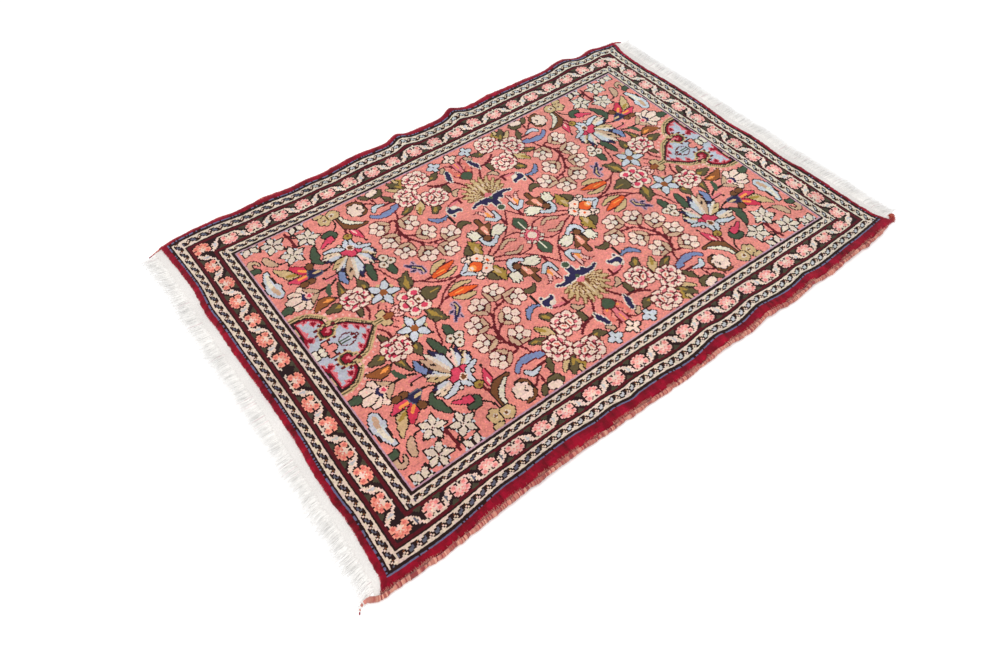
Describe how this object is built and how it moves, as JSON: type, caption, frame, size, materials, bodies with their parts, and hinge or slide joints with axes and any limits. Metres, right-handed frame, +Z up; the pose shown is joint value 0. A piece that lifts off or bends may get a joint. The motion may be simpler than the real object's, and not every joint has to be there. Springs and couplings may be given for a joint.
{
  "type": "persian rug",
  "caption": "Small hand-knotted rectangular rug lying flat, with rippled long edges, overcast side cords and a loose warp fringe at both ends.",
  "frame": {"origin": "centre of the rug's footprint, fringes included, on the floor", "axes": "+X along the rug's long side, +Y to the far long edge in the picture, +Z up from the floor"},
  "size_m": [1.3266, 0.886, 0.0191],
  "materials": {
    "wool_pile": "cut wool pile, matte with a slight sheen",
    "selvedge_yarn": "overcast wool yarn, matte",
    "cotton_warp": "undyed cotton, matte"
  },
  "bodies": {
    "root": {"pile_body": "wool_pile", "selvedge_front": "selvedge_yarn", "selvedge_back": "selvedge_yarn", "fringe_left": "cotton_warp", "fringe_right": "cotton_warp"}
  },
  "joints": []
}
